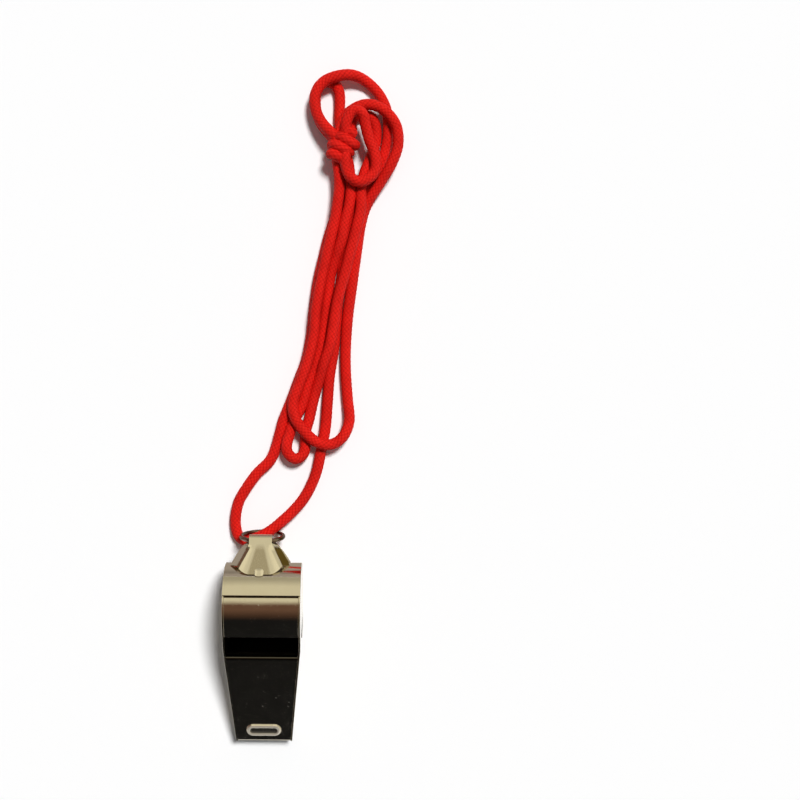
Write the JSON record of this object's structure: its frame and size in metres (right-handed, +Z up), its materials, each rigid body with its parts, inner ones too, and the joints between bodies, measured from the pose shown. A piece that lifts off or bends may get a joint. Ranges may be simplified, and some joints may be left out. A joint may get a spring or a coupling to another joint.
{
  "type": "sports whistle",
  "caption": "Nickel-plated pressed-metal pea whistle with a cork pea, a wire ring in a folded lug and a red braided neck lanyard lying in loops.",
  "frame": {"origin": "on the surface it stands on, below the middle of the whistle's length and width, the lanyard left out", "axes": "+Z up, +Y from the mouth towards the ring and the lanyard, +X to the whistle's right seen from behind the mouth"},
  "size_m": [0.0423, 0.1664, 0.0195],
  "materials": {
    "nickel_plate": "polished nickel plate over brass sheet and wire, slightly warm",
    "cork": "raw pressed cork, fine dark grain",
    "lanyard_cord": "tight braid of shiny red polypropylene"
  },
  "bodies": {
    "whistle": {"barrel_band": "nickel_plate", "wind_cutter": "nickel_plate", "left_cheek": "nickel_plate", "right_cheek": "nickel_plate", "mouthpiece_roof": "nickel_plate", "mouthpiece_floor": "nickel_plate", "windway_plate": "nickel_plate", "ring_lug": "nickel_plate"},
    "ring": {"lanyard_ring": "nickel_plate", "lanyard_ring_loop": "lanyard_cord", "lanyard_outer_loop": "lanyard_cord", "lanyard_curl_loop": "lanyard_cord", "lanyard_bight": "lanyard_cord", "lanyard_knot": "lanyard_cord"},
    "pea": {"cork_pea": "cork"}
  },
  "joints": [
    {"name": "ring_swing", "type": "hinge", "parent": "whistle", "child": "ring", "pos_m": [-0.00075, 0.02433, 0.0105], "axis": [1, 0, 0], "range_deg": [-10, 150]},
    {"name": "pea_roll", "type": "hinge", "parent": "whistle", "child": "pea", "pos_m": [0, 0.00894, 0.01], "axis": [1, 0, 0], "continuous": true}
  ]
}
